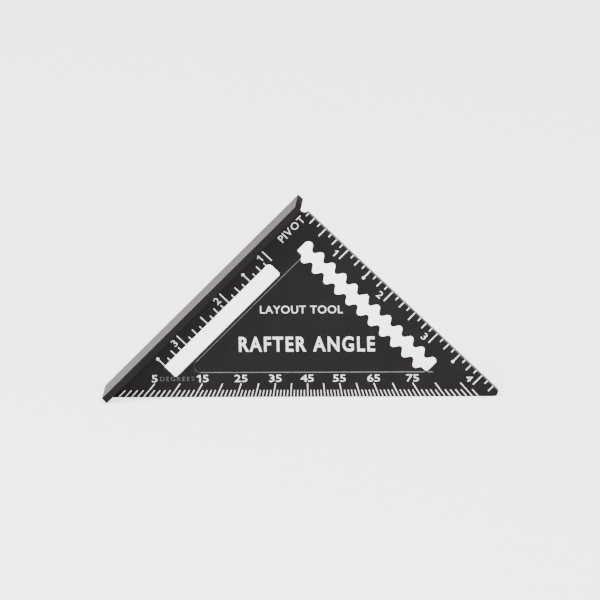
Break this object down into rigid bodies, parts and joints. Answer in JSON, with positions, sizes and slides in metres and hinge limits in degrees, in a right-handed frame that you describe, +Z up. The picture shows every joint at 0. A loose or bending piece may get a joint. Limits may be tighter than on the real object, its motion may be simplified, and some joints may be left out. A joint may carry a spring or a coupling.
{
  "type": "rafter square",
  "caption": "Compact black aluminium rafter square with a T-shaped fence, a notched scribing slot, a straight slot and white inch and degree scales.",
  "frame": {"origin": "Middle of the underside of the whole square's box: it stands on its long edge and its fence's end, with the pivot corner up.", "axes": "+Z up. +X along the long edge, away from the fence's foot. -Y out of the marked front face."},
  "size_m": [0.1625, 0.019, 0.0835],
  "materials": {
    "black_coat": "satin black coat on cast aluminium",
    "fence_metal": "machined, fine lengthwise grain",
    "white_enamel": "matt white paint fill"
  },
  "bodies": {
    "root": {"blade": "black_coat", "degree_mark_05": "white_enamel", "degree_mark_10": "white_enamel", "degree_mark_15": "white_enamel", "degree_mark_20": "white_enamel", "degree_mark_25": "white_enamel", "degree_mark_30": "white_enamel", "degree_mark_35": "white_enamel", "degree_mark_40": "white_enamel", "degree_mark_45": "white_enamel", "degree_mark_50": "white_enamel", "degree_mark_55": "white_enamel", "degree_mark_60": "white_enamel", "degree_mark_65": "white_enamel", "degree_mark_70": "white_enamel", "degree_mark_75": "white_enamel", "degree_mark_80": "white_enamel", "degree_mark_85": "white_enamel", "degree_number_05_figure_1": "white_enamel", "degree_number_15_figure_1": "white_enamel", "degree_number_15_figure_2": "white_enamel", "degree_number_25_figure_1": "white_enamel", "degree_number_25_figure_2": "white_enamel", "degree_number_35_figure_1": "white_enamel", "degree_number_35_figure_2": "white_enamel", "degree_number_45_figure_1": "white_enamel", "degree_number_45_figure_2": "white_enamel", "degree_number_55_figure_1": "white_enamel", "degree_number_55_figure_2": "white_enamel", "degree_number_65_figure_1": "white_enamel", "degree_number_65_figure_2": "white_enamel", "degree_number_75_figure_1": "white_enamel", "degree_number_75_figure_2": "white_enamel", "edge_lumber_mark_1": "white_enamel", "edge_lumber_mark_2": "white_enamel", "edge_numeral_1": "white_enamel", "edge_numeral_2": "white_enamel", "edge_numeral_3": "white_enamel", "edge_numeral_4": "white_enamel", "fence": "fence_metal", "pivot_letter_I": "white_enamel", "pivot_letter_O": "white_enamel", "pivot_letter_P": "white_enamel", "pivot_letter_T": "white_enamel", "pivot_letter_V": "white_enamel", "slot_lumber_mark_1": "white_enamel", "slot_lumber_mark_2": "white_enamel", "slot_numeral_1": "white_enamel", "slot_numeral_2": "white_enamel", "slot_numeral_3": "white_enamel"}
  },
  "joints": []
}
